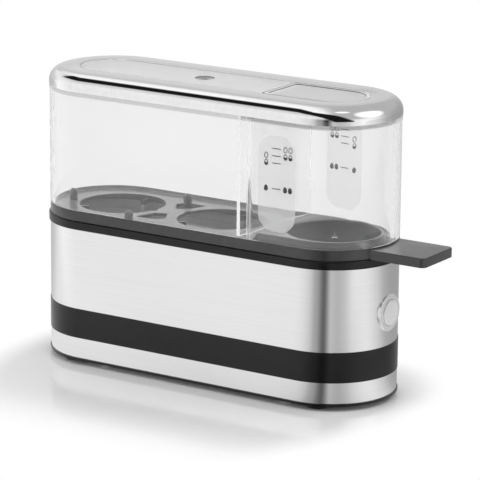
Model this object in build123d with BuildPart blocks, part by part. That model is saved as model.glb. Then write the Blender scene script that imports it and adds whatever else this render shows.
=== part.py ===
from build123d import *
import os

# Electric egg cooker for two eggs: a stadium-shaped steel base, a lift-out egg carrier with a
# handle, and a lift-off clear hood that stores its measuring cup upside down over the needle.
# Millimetres, +Z up. The handle and the button are at +X and the front is at -Y. The origin is
# on the floor, under the middle of the overall length.

# Outline of the body, which every wall, rim and cover follows
body_length = 210.0
body_width = 71.6
rim_overhang = 0.8
handle_reach = 28.8
body_x = (rim_overhang - handle_reach) / 2
body_plane = Plane((body_x, 0, 0))

# Heights of the base, from the floor up
tray_clearance = 1.6
tray_thickness = 2.4
lower_sleeve_height = 11.3
waist_height = 16.3
upper_sleeve_height = 44.4
rim_height = 4.4
tray_top = tray_clearance + tray_thickness
waist_low = tray_top + lower_sleeve_height
waist_high = waist_low + waist_height
rim_low = waist_high + upper_sleeve_height
rim_top = rim_low + rim_height

# Walls of the base, as depths in from the body outline
sleeve_thickness = 0.8
fit_gap = 0.1
housing_wall = 2.0
waist_proud = 0.3
spigot_gap = 0.2
spigot_wall = 1.8
housing_outer = -(sleeve_thickness + fit_gap)
housing_inner = housing_outer - housing_wall
spigot_outer = housing_inner - spigot_gap
spigot_inner = spigot_outer - spigot_wall

# Moving pieces keep this distance from the pieces that they pass
running_gap = 0.3


def outline(growth, mode=Mode.ADD):
    """Body outline grown by this much on every side, drawn in the current sketch."""
    SlotOverall(body_length + 2 * growth, body_width + 2 * growth, mode=mode)


def slab(low, high, growth, mode=Mode.ADD):
    """Solid with the grown body outline, from one height to another."""
    with BuildSketch(body_plane.offset(low)) as face:
        outline(growth)
    extrude(face.sketch, amount=high - low, mode=mode)


def wall(low, high, outer, inner, mode=Mode.ADD):
    """Wall between two growths of the body outline, from one height to another."""
    with BuildSketch(body_plane.offset(low)) as ring:
        outline(outer)
        outline(inner, Mode.SUBTRACT)
    extrude(ring.sketch, amount=high - low, mode=mode)


def d_face(level, length, width, flat_x, corner):
    """D-shaped end of a slot of this length and width, cut off at flat_x with rounded corners."""
    with BuildSketch(body_plane.offset(level)) as face:
        SlotOverall(length, width)
        with Locations((flat_x, 0)):
            Rectangle(length, 2 * width, align=(Align.MAX, Align.CENTER), mode=Mode.SUBTRACT)
        fillet(face.vertices().group_by(Axis.X)[0], corner)
    return face.sketch


def discs(plane, places, radius, height, mode=Mode.ADD):
    """Equal round pegs or holes, one at each place on the plane."""
    with BuildSketch(plane) as faces:
        with Locations(*places):
            Circle(radius)
    extrude(faces.sketch, amount=height, mode=mode)


def mirrored(x, y):
    """The four places at this distance from both middle planes of the body."""
    return [(x, y), (-x, y), (x, -y), (-x, -y)]


# Posts that carry the heat shield and take the tray screws, set in from the ends and the sides
post_end_inset = 47.0
post_side_inset = 9.8
post_radius = 4.0
post_web = 2.0
post_top = 54.0
pilot_radius = 1.6
pilot_depth = 10.0
screw_radius = 1.5
screw_length = 8.0
screw_head_radius = 2.8
screw_head_height = 1.1
tray_spigot_height = 6.0
post_x = body_length / 2 - post_end_inset
post_y = body_width / 2 - post_side_inset
post_places = mirrored(post_x, post_y)

# Base tray: floor plate with a proud lip, foot recesses, screw holes and a row of vent slots
lip_proud = 0.5
lip_height = 1.3
underside_inset = 2.5
foot_end_inset = 27.0
foot_side_inset = 10.3
foot_radius = 6.0
foot_recess = 1.0
foot_gap = 0.2
vent_count = 7
vent_pitch = 8.0
vent_width = 3.0
vent_length = 24.0
block_x = -30.0
block_y = 12.0
block_length = 26.0
block_width = 12.0
block_height = 11.0
block_stop = 1.6
block_stop_height = 6.0
foot_places = mirrored(body_length / 2 - foot_end_inset, body_width / 2 - foot_side_inset)
head_seat = tray_clearance + screw_head_height
with BuildPart() as base_tray:
    slab(tray_clearance, tray_top, -underside_inset)
    slab(tray_top - lip_height, tray_top, lip_proud)
    wall(tray_top, tray_top + tray_spigot_height, spigot_outer, spigot_inner)
    with BuildSketch(body_plane.offset(tray_top)) as stops:
        with Locations((block_x, block_y)):
            Rectangle(block_length + 2 * block_stop, block_width / 2)
            Rectangle(block_length, block_width, mode=Mode.SUBTRACT)
    extrude(amount=block_stop_height)
    underside = body_plane.offset(tray_clearance)
    discs(underside, foot_places, foot_radius + foot_gap, foot_recess, Mode.SUBTRACT)
    discs(body_plane, post_places, screw_head_radius + foot_gap, head_seat, Mode.SUBTRACT)
    discs(body_plane, post_places, pilot_radius, tray_top, Mode.SUBTRACT)
    with BuildSketch(body_plane) as vents:
        with GridLocations(vent_pitch, 0, vent_count, 1):
            with Locations((0, -block_y)):
                SlotOverall(vent_length, vent_width, rotation=90)
    extrude(amount=tray_top, mode=Mode.SUBTRACT)
base_tray.part.label = "base_tray"

# Four rubber feet, pressed into the recesses of the tray
foot_edge = 0.5
with BuildPart() as rubber_feet:
    discs(body_plane, foot_places, foot_radius, tray_clearance + foot_recess)
    chamfer(rubber_feet.edges().group_by(Axis.Z)[0], foot_edge)
rubber_feet.part.label = "rubber_feet"

# Steel sleeves: the narrow one stands on the tray and the tall one carries the button
button_height = 49.2
bezel_tube_radius = 8.5
tube_gap = 0.2
wall_hole_depth = body_width / 4
button_plane = Plane((body_x + body_length / 2, 0, button_height), x_dir=(0, 1, 0), z_dir=(1, 0, 0))
with BuildPart() as lower_sleeve:
    wall(tray_top, waist_low, 0, -sleeve_thickness)
lower_sleeve.part.label = "lower_sleeve"

with BuildPart() as upper_sleeve:
    wall(waist_high, rim_low, 0, -sleeve_thickness)
    with BuildSketch(button_plane.offset(rim_overhang)) as bezel_hole:
        Circle(bezel_tube_radius + tube_gap)
    extrude(amount=-wall_hole_depth, mode=Mode.SUBTRACT)
upper_sleeve.part.label = "upper_sleeve"

# Inner housing: its waist shows between the sleeves, and inside it has the four posts, the two
# bosses of the switch bracket and the hole of the cord gland
gland_x = -36.0
gland_radius = 5.5
gland_gap = 0.2
gland_flange_radius = 7.4
gland_flange_sink = 1.0
bracket_depth = 15.8
bracket_reach = 18.0
bracket_boss_radius = 4.0
gland_height = waist_low + waist_height / 2
gland_face = (body_x + gland_x, body_width / 2 + waist_proud, gland_height)
gland_plane = Plane(gland_face, x_dir=(1, 0, 0), z_dir=(0, 1, 0))
bracket_plane = button_plane.offset(-bracket_depth)
bracket_places = [(bracket_reach, 0), (-bracket_reach, 0)]
with BuildPart() as housing_cavity:
    slab(tray_top, rim_low, housing_inner)
    discs(body_plane.offset(tray_top), post_places, post_radius, post_top - tray_top, Mode.SUBTRACT)
    with BuildSketch(body_plane.offset(tray_top + tray_spigot_height)) as webs:
        with GridLocations(2 * post_x, 0, 2, 1):
            Rectangle(post_web, body_width)
            Rectangle(post_web, 2 * post_y, mode=Mode.SUBTRACT)
    extrude(amount=post_top - tray_top - tray_spigot_height, mode=Mode.SUBTRACT)
    discs(bracket_plane, bracket_places, bracket_boss_radius, bracket_depth, Mode.SUBTRACT)

with BuildPart() as inner_housing:
    slab(tray_top, rim_low, housing_outer)
    slab(waist_low, waist_high, waist_proud)
    add(housing_cavity.part, mode=Mode.SUBTRACT)
    discs(body_plane.offset(tray_top), post_places, pilot_radius, pilot_depth, Mode.SUBTRACT)
    discs(body_plane.offset(post_top), post_places, pilot_radius, -pilot_depth, Mode.SUBTRACT)
    discs(bracket_plane, bracket_places, pilot_radius, pilot_depth, Mode.SUBTRACT)
    with BuildSketch(button_plane) as tube_hole:
        Circle(bezel_tube_radius + tube_gap)
    extrude(amount=-wall_hole_depth, mode=Mode.SUBTRACT)
    with BuildSketch(gland_plane) as gland_hole:
        Circle(gland_radius + gland_gap)
    extrude(amount=-wall_hole_depth, mode=Mode.SUBTRACT)
    with BuildSketch(gland_plane) as gland_seat:
        Circle(gland_flange_radius + gland_gap)
    extrude(amount=-gland_flange_sink, mode=Mode.SUBTRACT)
inner_housing.part.label = "inner_housing"

# Cord gland: a grommet in the back of the waist, with a flange outside and a snap rim inside
gland_bore = 3.3
gland_rim_radius = 6.6
gland_rim = 1.6
gland_rim_taper = 15
gland_flange = gland_flange_sink + rim_overhang - waist_proud
gland_wall = waist_proud - housing_inner
with BuildPart() as cord_gland:
    with BuildSketch(gland_plane.offset(-gland_flange_sink)) as flange:
        Circle(gland_flange_radius)
    extrude(amount=gland_flange)
    with BuildSketch(gland_plane.offset(-gland_flange_sink)) as neck:
        Circle(gland_radius)
    extrude(amount=gland_flange_sink - gland_wall - gland_rim)
    with BuildSketch(gland_plane.offset(-gland_wall)) as snap_rim:
        Circle(gland_rim_radius)
    extrude(amount=-gland_rim, taper=gland_rim_taper)
    with BuildSketch(gland_plane.offset(gland_flange)) as bore:
        Circle(gland_bore)
    extrude(amount=-gland_flange - gland_wall - 2 * gland_rim, mode=Mode.SUBTRACT)
cord_gland.part.label = "cord_gland"

# Top rim: it caps both walls, and its inner ledge holds the seal and the flange of the pan
rim_inner = -5.7
ledge_outer = -3.7
ledge_drop = 1.4
seal_outer = -4.2
seal_width = 1.0
seal_depth = 1.0
rim_spigot_depth = 6.0
rim_edge = 0.7
ledge = rim_top - ledge_drop
with BuildPart() as top_rim:
    wall(rim_low, rim_top, rim_overhang, rim_inner)
    fillet(top_rim.faces().sort_by(Axis.Z)[-1].outer_wire().edges(), rim_edge)
    slab(ledge, rim_top, ledge_outer, Mode.SUBTRACT)
    wall(ledge - seal_depth, ledge, seal_outer + fit_gap, seal_outer - seal_width - fit_gap, Mode.SUBTRACT)
    wall(rim_low - rim_spigot_depth, rim_low, spigot_outer, spigot_inner)
top_rim.part.label = "top_rim"

# Silicone seal in the groove of the ledge
with BuildPart() as pan_seal:
    wall(ledge - seal_depth, ledge, seal_outer, seal_outer - seal_width)
pan_seal.part.label = "pan_seal"

# Water pan: drawn steel with rounded bottom edges and a flange on the ledge
pan_thickness = 0.8
pan_bottom = 66.0
pan_corner = 5.0
pan_flange_gap = 0.2
pan_outer = rim_inner - pan_flange_gap
pan_inner = pan_outer - pan_thickness
with BuildPart() as water_pan:
    slab(pan_bottom, ledge + pan_thickness, pan_outer)
    fillet(water_pan.faces().sort_by(Axis.Z)[0].edges(), pan_corner)
    offset(amount=-pan_thickness, openings=water_pan.faces().sort_by(Axis.Z)[-1])
    wall(ledge, ledge + pan_thickness, ledge_outer - pan_flange_gap, pan_inner)
water_pan.part.label = "water_pan"

# Heat spreader: aluminium plate under the pan with a U-shaped groove for the heater
spreader_thickness = 3.0
spreader_length = 130.0
spreader_width = 42.0
element_radius = 3.3
groove_gap = 0.1
groove_depth = 1.7
loop_radius = 11.0
loop_x = 45.0
leg_length = 95.0
strap_screw_radius = 1.25
strap_screw_depth = 1.8
strap_x = 22.0
strap_reach = 11.5
strap_head_radius = 2.0
strap_thickness = 1.0
fuse_radius = 2.2
clip_x = -20.0
clip_reach = fuse_radius + strap_thickness + strap_head_radius + running_gap
spreader_low = pan_bottom - spreader_thickness
element_z = spreader_low + groove_depth - element_radius
spreader_plane = body_plane.offset(spreader_low)
bracket_feet = [(strap_x - strap_reach, 0), (strap_x + strap_reach, 0)]
clip_feet = [(clip_x, clip_reach), (clip_x, -clip_reach)]
with BuildPart() as heat_spreader:
    with BuildSketch(spreader_plane) as plate:
        SlotOverall(spreader_length, spreader_width)
    extrude(amount=spreader_thickness)
    with BuildSketch(spreader_plane) as groove:
        with Locations((loop_x - leg_length / 2, loop_radius), (loop_x - leg_length / 2, -loop_radius)):
            Rectangle(leg_length, 2 * (element_radius + groove_gap))
        with Locations((loop_x, 0)):
            Circle(loop_radius + element_radius + groove_gap)
            Circle(loop_radius - element_radius - groove_gap, mode=Mode.SUBTRACT)
        with Locations((loop_x - loop_radius, 0)):
            Rectangle(2 * loop_radius, 2 * (loop_radius - element_radius - groove_gap), mode=Mode.SUBTRACT)
    extrude(amount=groove_depth, mode=Mode.SUBTRACT)
    screw_hole_radius = strap_screw_radius + fit_gap
    discs(spreader_plane, bracket_feet + clip_feet, screw_hole_radius, strap_screw_depth, Mode.SUBTRACT)
heat_spreader.part.label = "heat_spreader"

# Heating element: steel tube bent to a U, with a blade on each end
blade_length = 9.0
blade_width = 6.3
blade_thickness = 0.8
element_start = loop_x - leg_length
with BuildPart() as heating_element:
    with BuildLine(body_plane.offset(element_z)) as bend:
        Line((element_start, loop_radius), (loop_x, loop_radius))
        CenterArc((loop_x, 0), loop_radius, 90, -180)
        Line((loop_x, -loop_radius), (element_start, -loop_radius))
    with BuildSketch(Plane((body_x + element_start, loop_radius, element_z), z_dir=(1, 0, 0))) as tube:
        Circle(element_radius)
    sweep()
heating_element.part.label = "heating_element"

with BuildPart() as element_terminals:
    with BuildSketch(body_plane.offset(element_z - blade_thickness / 2)) as blades:
        with Locations((element_start, loop_radius), (element_start, -loop_radius)):
            Rectangle(blade_length, blade_width, align=(Align.MAX, Align.CENTER))
    extrude(amount=blade_thickness)
element_terminals.part.label = "element_terminals"

# Thermostat: a round switch pressed on the spreader, with two tabs beside its strap
thermostat_radius = 7.0
thermostat_height = 6.0
tab_length = 6.0
tab_width = 2.2
tab_rise = 1.2
strap_width = 8.0
thermostat_low = spreader_low - thermostat_height
with BuildPart() as thermostat:
    with BuildSketch(body_plane.offset(thermostat_low)) as can:
        with Locations((strap_x, 0)):
            Circle(thermostat_radius)
    extrude(amount=thermostat_height)
    with BuildSketch(body_plane.offset(thermostat_low + tab_rise)) as tabs:
        with Locations((strap_x - thermostat_radius / 2, 0)):
            with GridLocations(0, strap_width + tab_width + 2 * running_gap, 1, 2):
                Rectangle(thermostat_radius / 2 + tab_length, tab_width, align=(Align.MAX, Align.CENTER))
    extrude(amount=blade_thickness)
thermostat.part.label = "thermostat"


def strap(face_plane, inner_width, inner_height, reach, depth):
    """Sheet-metal strap with two feet: its section is drawn from the face that it presses on."""
    with BuildSketch(face_plane) as section:
        Rectangle(
            inner_width + 2 * strap_thickness,
            inner_height + strap_thickness,
            align=(Align.CENTER, Align.MAX),
        )
        Rectangle(2 * reach, strap_thickness, align=(Align.CENTER, Align.MAX))
        Rectangle(inner_width, inner_height, align=(Align.CENTER, Align.MAX), mode=Mode.SUBTRACT)
    extrude(section.sketch, amount=depth / 2, both=True)


# Strap of the thermostat, with a foot on each side
strap_foot = 3.0
strap_slack = 1.0
with BuildPart() as thermostat_bracket:
    strap(
        Plane((body_x + strap_x, 0, spreader_low), x_dir=(1, 0, 0), z_dir=(0, -1, 0)),
        2 * (thermostat_radius + strap_slack),
        thermostat_height,
        strap_reach + strap_foot,
        strap_width,
    )
    discs(spreader_plane, bracket_feet, screw_hole_radius, -strap_thickness, Mode.SUBTRACT)
thermostat_bracket.part.label = "thermostat_bracket"

# Thermal fuse in its sleeve, under a clip
fuse_length = 16.0
fuse_edge = 0.55
clip_width = 6.0
clip_foot = 2.0
with BuildPart() as thermal_fuse:
    fuse_plane = Plane((body_x + clip_x, 0, spreader_low - fuse_radius), z_dir=(1, 0, 0))
    with BuildSketch(fuse_plane) as sleeve_end:
        Circle(fuse_radius)
    extrude(amount=fuse_length / 2, both=True)
    fillet(thermal_fuse.edges(), fuse_edge)
thermal_fuse.part.label = "thermal_fuse"

with BuildPart() as fuse_clip:
    strap(
        Plane((body_x + clip_x, 0, spreader_low), x_dir=(0, 1, 0), z_dir=(1, 0, 0)),
        2 * fuse_radius,
        2 * fuse_radius,
        clip_reach + clip_foot,
        clip_width,
    )
    discs(spreader_plane, clip_feet, screw_hole_radius, -strap_thickness, Mode.SUBTRACT)
fuse_clip.part.label = "fuse_clip"

# Screws of the strap and the clip, up into the spreader
strap_head_height = 1.4
with BuildPart() as strap_screws:
    foot_plane = spreader_plane.offset(-strap_thickness)
    discs(foot_plane, bracket_feet + clip_feet, strap_head_radius, -strap_head_height)
    discs(foot_plane, bracket_feet + clip_feet, strap_screw_radius, strap_thickness + strap_screw_depth)
strap_screws.part.label = "strap_screws"

# Heat shield: a plate with a turned-down edge on the four posts
shield_thickness = 0.8
shield_margin = 6.0
shield_lip = 4.0
shield_corner = 5.0
with BuildPart() as heat_shield:
    with BuildSketch(body_plane.offset(post_top)) as sheet:
        RectangleRounded(2 * (post_x + shield_margin), 2 * (post_y + post_radius), shield_corner)
    extrude(amount=shield_thickness)
    with BuildSketch(body_plane.offset(post_top - shield_lip)) as edge_lips:
        with GridLocations(2 * (post_x + shield_margin) - shield_thickness, 0, 2, 1):
            Rectangle(shield_thickness, 2 * (post_y + post_radius - shield_corner))
    extrude(amount=shield_lip)
    discs(body_plane.offset(post_top), post_places, pilot_radius, shield_thickness, Mode.SUBTRACT)
heat_shield.part.label = "heat_shield"

# Screws: four up through the tray and four down through the shield, both into the posts
with BuildPart() as tray_screws:
    discs(body_plane.offset(head_seat), post_places, screw_head_radius, -screw_head_height)
    discs(body_plane.offset(head_seat), post_places, screw_radius, screw_length)
tray_screws.part.label = "tray_screws"

with BuildPart() as shield_screws:
    discs(body_plane.offset(post_top + shield_thickness), post_places, screw_head_radius, screw_head_height)
    discs(body_plane.offset(post_top + shield_thickness), post_places, screw_radius, -screw_length)
shield_screws.part.label = "shield_screws"

# Terminal block between its stops on the tray, with three screw wells and three lead holes
pole_pitch = 8.0
pole_radius = 2.2
pole_depth = 7.0
lead_hole_radius = 1.6
lead_hole_rise = 3.2
with BuildPart() as terminal_block:
    with BuildSketch(body_plane.offset(tray_top)) as block:
        with Locations((block_x, block_y)):
            Rectangle(block_length, block_width)
    extrude(amount=block_height)
    with BuildSketch(body_plane.offset(tray_top + block_height)) as wells:
        with Locations((block_x, block_y)):
            with GridLocations(pole_pitch, 0, 3, 1):
                Circle(pole_radius)
    extrude(amount=-pole_depth, mode=Mode.SUBTRACT)
    lead_plane = Plane((body_x + block_x, block_y, tray_top + lead_hole_rise), z_dir=(0, 1, 0))
    with BuildSketch(lead_plane) as lead_holes:
        with GridLocations(pole_pitch, 0, 3, 1):
            Circle(lead_hole_radius)
    extrude(amount=block_width, both=True, mode=Mode.SUBTRACT)
terminal_block.part.label = "terminal_block"

# Bezel of the button: the back of its flange follows the round end, and its tube goes inside
bezel_radius = 10.0
bezel_proud = 0.6
bezel_depth = 8.0
bezel_edge = 0.5
button_radius = 6.75
button_gap = 0.2
with BuildPart() as switch_bezel:
    with BuildSketch(button_plane.offset(bezel_proud)) as flange_face:
        Circle(bezel_radius)
    extrude(amount=-bezel_radius / 2)
    fillet(switch_bezel.faces().sort_by(Axis.X)[-1].edges(), bezel_edge)
    slab(waist_high, rim_low, 0, Mode.SUBTRACT)
    with BuildSketch(button_plane.offset(bezel_proud / 2)) as tube_face:
        Circle(bezel_tube_radius)
    extrude(amount=-bezel_depth - bezel_proud / 2)
    with BuildSketch(button_plane.offset(bezel_proud)) as button_bore:
        Circle(button_radius + button_gap)
    extrude(amount=-bezel_depth - bezel_proud, mode=Mode.SUBTRACT)
switch_bezel.part.label = "switch_bezel"

# Round button, kept in by a collar behind the tube
button_proud = 1.6
button_travel = 2.5
collar_radius = 7.8
collar_length = 1.5
button_edge = 0.5
with BuildPart() as start_button:
    with BuildSketch(button_plane.offset(button_proud)) as button_face:
        Circle(button_radius)
    extrude(amount=-button_proud - bezel_depth)
    fillet(start_button.faces().sort_by(Axis.X)[-1].edges(), button_edge)
    with BuildSketch(button_plane.offset(-bezel_depth)) as collar:
        Circle(collar_radius)
    extrude(amount=-collar_length)
start_button.part.label = "start_button"

# Push switch behind the button: its plunger touches the collar and slides in its body
bracket_thickness = 1.2
switch_side = 13.0
switch_corner = 1.0
switch_length = 15.0
plunger_radius = 2.5
plunger_sunk = 2.5
switch_face = bracket_depth + bracket_thickness
plunger_length = switch_face + plunger_sunk - bezel_depth - collar_length
with BuildPart() as switch_plunger:
    with BuildSketch(button_plane.offset(-bezel_depth - collar_length)) as plunger_face:
        Circle(plunger_radius)
    extrude(amount=-plunger_length)
switch_plunger.part.label = "switch_plunger"

switch_blade = 7.0
blade_pitch = 6.0
with BuildPart() as switch_body:
    with BuildSketch(button_plane.offset(-switch_face)) as case:
        RectangleRounded(switch_side, switch_side, switch_corner)
    extrude(amount=-switch_length)
    with BuildSketch(button_plane.offset(-switch_face)) as plunger_bore:
        Circle(plunger_radius + running_gap)
    extrude(amount=-plunger_sunk - button_travel - running_gap, mode=Mode.SUBTRACT)
    with BuildSketch(button_plane.offset(-switch_face - switch_length)) as rear_blades:
        with GridLocations(0, blade_pitch, 1, 2):
            Rectangle(blade_width, blade_thickness)
    extrude(amount=-switch_blade)
switch_body.part.label = "switch_body"

# Bracket: a plate on the two bosses, with tabs above and below the switch
bracket_tab = 8.0
with BuildPart() as switch_bracket:
    with BuildSketch(bracket_plane) as bracket_plate:
        SlotCenterToCenter(2 * bracket_reach, 2 * bracket_boss_radius)
        Rectangle(switch_side, switch_side + 2 * bracket_thickness)
    extrude(amount=-bracket_thickness)
    with BuildSketch(button_plane.offset(-switch_face)) as tab_faces:
        with GridLocations(0, switch_side + bracket_thickness, 1, 2):
            Rectangle(switch_side, bracket_thickness)
    extrude(amount=-bracket_tab)
    with BuildSketch(bracket_plane) as plunger_hole:
        Circle(plunger_radius + 2 * running_gap)
    extrude(amount=-bracket_thickness, mode=Mode.SUBTRACT)
    discs(bracket_plane, bracket_places, pilot_radius, -bracket_thickness, Mode.SUBTRACT)
switch_bracket.part.label = "switch_bracket"

with BuildPart() as bracket_screws:
    discs(button_plane.offset(-switch_face), bracket_places, screw_head_radius, -screw_head_height)
    discs(button_plane.offset(-switch_face), bracket_places, screw_radius, screw_length)
bracket_screws.part.label = "bracket_screws"

# Hood and egg chamber, as heights above the rim and places along the body
band_height = 6.0
plate_rise = 4.3
plate_thickness = 1.8
band_wall = 2.6
band_lip = 1.2
skirt_outer = -7.2
skirt_wall = 1.6
skirt_depth = 6.4
partition_x = 32.2
partition_wall = 2.0
carrier_top = rim_top + band_height
plate_level = rim_top + plate_rise
plate_low = plate_level - plate_thickness
skirt_inner = skirt_outer - skirt_wall
chamber_left = -body_length / 2 - skirt_inner
chamber_mid = (chamber_left + partition_x) / 2
egg_pitch = (partition_x - chamber_left) / 2
egg_places = [(chamber_mid - egg_pitch / 2, 0), (chamber_mid + egg_pitch / 2, 0)]

# Egg carrier: plate with a band on the rim and a skirt in the pan, two egg holes with ribs,
# two steam slots, pins, the raised dish of the needle and the flat handle
egg_hole_radius = 23.65
egg_seat_radius = 18.4
egg_rib = 1.6
egg_rib_foot = 3.0
egg_rib_drop = 6.0
notch_x = 9.6
notch_y = 3.0
notch_radius = 2.6
slot_corners = [(-1.6, 6.0), (-7.4, 16.0), (-3.0, 21.2), (9.0, 21.0), (4.7, 8.5)]
slot_corner_radius = 0.9
pin_radius = 2.3
pin_round = 1.84
end_pin_height = 6.8
side_pin_height = 5.0
pin_edge = 5.3
end_pin_y = -9.6
front_pin = (-7.7, -28.9)
back_pin = (-4.6, 22.7)
dish_gap = 3.2
dish_base_growth = -6.0
dish_corner = 5.0
dish_slope = 2.9
dish_height = 3.9
dish_inset = 2.4
bowl_depth = 4.6
bowl_rim = 1.9
needle_end_inset = 34.0
needle_base_radius = 1.5
needle_seat = 0.2
handle_width = 31.2
handle_thickness = 5.0
handle_corner = 3.0
handle_edge = 0.6
handle_wall = 2.0
handle_rib = 1.2
handle_core = 3.2
carrier_edge = 0.4
cup_gap = 0.8
cup_flat = partition_x + partition_wall + cup_gap
dish_flat = cup_flat + dish_gap - cup_gap
dish_top = plate_level + dish_height
needle_x = body_length / 2 - needle_end_inset
needle_foot = dish_top - bowl_depth - needle_seat
handle_tip = body_length / 2 + handle_reach
cell_width = (handle_width - 2 * handle_wall - 2 * handle_rib) / 3
cell_length = handle_reach - rim_overhang - 2 * handle_wall
base_length = body_length + 2 * dish_base_growth
base_width = body_width + 2 * dish_base_growth
bowl_radius = base_width / 2 - dish_slope - bowl_rim
bowl_centre = (body_x + needle_x, 0, dish_top)


def bowl(radius, depth, mode):
    """Round bowl of this radius and depth under the top of the dish, as part of a ball."""
    with BuildSketch(Plane(bowl_centre, x_dir=(1, 0, 0), z_dir=(0, -1, 0))) as half:
        with BuildLine():
            ThreePointArc((-radius, 0), (0, -depth), (radius, 0))
            Line((-radius, 0), (radius, 0))
        make_face()
        Rectangle(radius, 2 * depth, align=(Align.MAX, Align.CENTER), mode=Mode.SUBTRACT)
    revolve(half.sketch, axis=Axis(bowl_centre, (0, 0, 1)), mode=mode)


with BuildPart() as handle_paddle:
    with BuildSketch(body_plane.offset(rim_top)) as paddle:
        with Locations((handle_tip, 0)):
            Rectangle(handle_reach + handle_width / 2, handle_width, align=(Align.MAX, Align.CENTER))
        fillet(paddle.vertices().group_by(Axis.X)[-1], handle_corner)
    extrude(amount=handle_thickness)
    fillet(handle_paddle.faces().sort_by(Axis.Z)[-1].edges(), handle_edge)

with BuildPart() as egg_carrier:
    slab(rim_top, carrier_top, 0)
    fillet(egg_carrier.edges().filter_by(Plane.XY), carrier_edge)
    add(handle_paddle.part)
    slab(plate_level, carrier_top, -band_lip, Mode.SUBTRACT)
    slab(rim_top, plate_low, -band_wall, Mode.SUBTRACT)
    with BuildSketch(body_plane.offset(rim_top)) as cells:
        with Locations((handle_tip - handle_wall - cell_length / 2, 0)):
            with GridLocations(0, cell_width + handle_rib, 1, 3):
                RectangleRounded(cell_length, cell_width, handle_rib)
    extrude(amount=handle_core, mode=Mode.SUBTRACT)
    wall(plate_low - skirt_depth - plate_thickness, plate_low, skirt_outer, skirt_inner)
    loft(
        [
            d_face(plate_level, base_length, base_width, dish_flat, dish_corner),
            d_face(
                dish_top,
                base_length - 2 * dish_slope,
                base_width - 2 * dish_slope,
                dish_flat + dish_slope,
                dish_corner - dish_slope,
            ),
        ]
    )
    dish_underside = d_face(
        plate_low,
        base_length - 2 * dish_slope - 2 * dish_inset,
        base_width - 2 * dish_slope - 2 * dish_inset,
        dish_flat + dish_slope + dish_inset,
        dish_corner - dish_slope,
    )
    extrude(dish_underside, amount=dish_height, mode=Mode.SUBTRACT)
    bowl(bowl_radius + bowl_rim / 2, bowl_depth + plate_thickness, Mode.ADD)
    bowl(bowl_radius, bowl_depth, Mode.SUBTRACT)
    seat_plane = body_plane.offset(needle_foot)
    discs(seat_plane, [(needle_x, 0)], needle_base_radius + fit_gap, bowl_depth, Mode.SUBTRACT)
    discs(body_plane.offset(plate_low), egg_places, egg_hole_radius, plate_thickness, Mode.SUBTRACT)
    notch_places = [(chamber_mid - notch_x, -notch_y), (chamber_mid + notch_x, notch_y)]
    discs(body_plane.offset(plate_low), notch_places, notch_radius, plate_thickness, Mode.SUBTRACT)
    with BuildSketch(body_plane.offset(plate_low)) as slots:
        for turn in (0, 180):
            with Locations(Location((chamber_mid, 0, 0), (0, 0, turn))):
                Polygon(*slot_corners, align=None)
        fillet(slots.vertices(), slot_corner_radius)
    extrude(amount=plate_thickness, mode=Mode.SUBTRACT)
    with BuildSketch(body_plane.offset(plate_low - egg_rib_drop)) as ribs:
        for hole_x, hole_y in egg_places:
            with Locations((hole_x, hole_y)):
                with PolarLocations(egg_seat_radius, 3, start_angle=90):
                    rib_length = egg_hole_radius + egg_rib_foot - egg_seat_radius
                    Rectangle(rib_length, egg_rib, align=(Align.MIN, Align.CENTER))
    extrude(amount=egg_rib_drop)
    end_pins = [(chamber_left + pin_edge, end_pin_y)]
    discs(body_plane.offset(plate_level), end_pins, pin_radius, end_pin_height)
    side_pins = [(chamber_mid + front_pin[0], front_pin[1]), (chamber_mid + back_pin[0], back_pin[1])]
    discs(body_plane.offset(plate_level), side_pins, pin_radius, side_pin_height)
    pin_tops = egg_carrier.faces().filter_by(GeomType.PLANE).filter_by(
        lambda face: face.center().Z > plate_level + pin_radius and face.area < 4 * pin_radius**2
    )
    fillet(pin_tops.edges(), pin_round)
egg_carrier.part.label = "egg_carrier"

# Needle that pricks the eggs, upright in the middle of the dish
needle_base = 1.2
needle_radius = 0.5
needle_length = 3.2
with BuildPart() as pricker_needle:
    needle_plane = Plane((body_x + needle_x, 0, needle_foot), x_dir=(1, 0, 0), z_dir=(0, -1, 0))
    with BuildSketch(needle_plane) as needle_half:
        with BuildLine() as needle_line:
            Polyline(
                (0, 0),
                (needle_base_radius, 0),
                (needle_base_radius, needle_base),
                (needle_radius, needle_base),
                (0, needle_base + needle_length),
                (0, 0),
            )
        make_face()
    revolve(axis=Axis((body_x + needle_x, 0, 0), (0, 0, 1)))
pricker_needle.part.label = "pricker_needle"

# Hood: clear cover with a partition, a collar under the ring, a raised panel that fills the ring,
# a vent and the D-shaped window through which the foot of the cup shows
hood_wall = 2.3
hood_wall_height = 62.8
collar_height = 2.2
collar_proud = 0.25
shoulder_height = 7.6
shoulder_inset = 1.0
shoulder_round = 6.0
hood_roof = 2.2
panel_rise = 1.3
hood_inner_round = 4.5
hood_spigot_drop = 1.5
partition_rise = 0.6
ring_end_width = 16.4
ring_side_width = 18.0
ring_lap = 0.4
window_side = 0.2
window_corner = 3.0
window_gap = 0.1
vent_x = -11.2
vent_dish_radius = 5.4
vent_dish_depth = 0.8
vent_hole_radius = 1.8
collar_low = carrier_top + hood_wall_height
ring_low = collar_low + collar_height
hood_top = ring_low + shoulder_height
roof_low = hood_top - hood_roof
panel_top = hood_top + panel_rise
window_flat = cup_flat - window_gap
ring_opening_length = body_length - 2 * ring_end_width
ring_opening_width = body_width - 2 * ring_side_width
window_end = ring_opening_length / 2 + ring_lap
window_width = ring_opening_width - 2 * window_side
panel_length = ring_opening_length - 2 * running_gap
panel_width = ring_opening_width - 2 * running_gap
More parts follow.
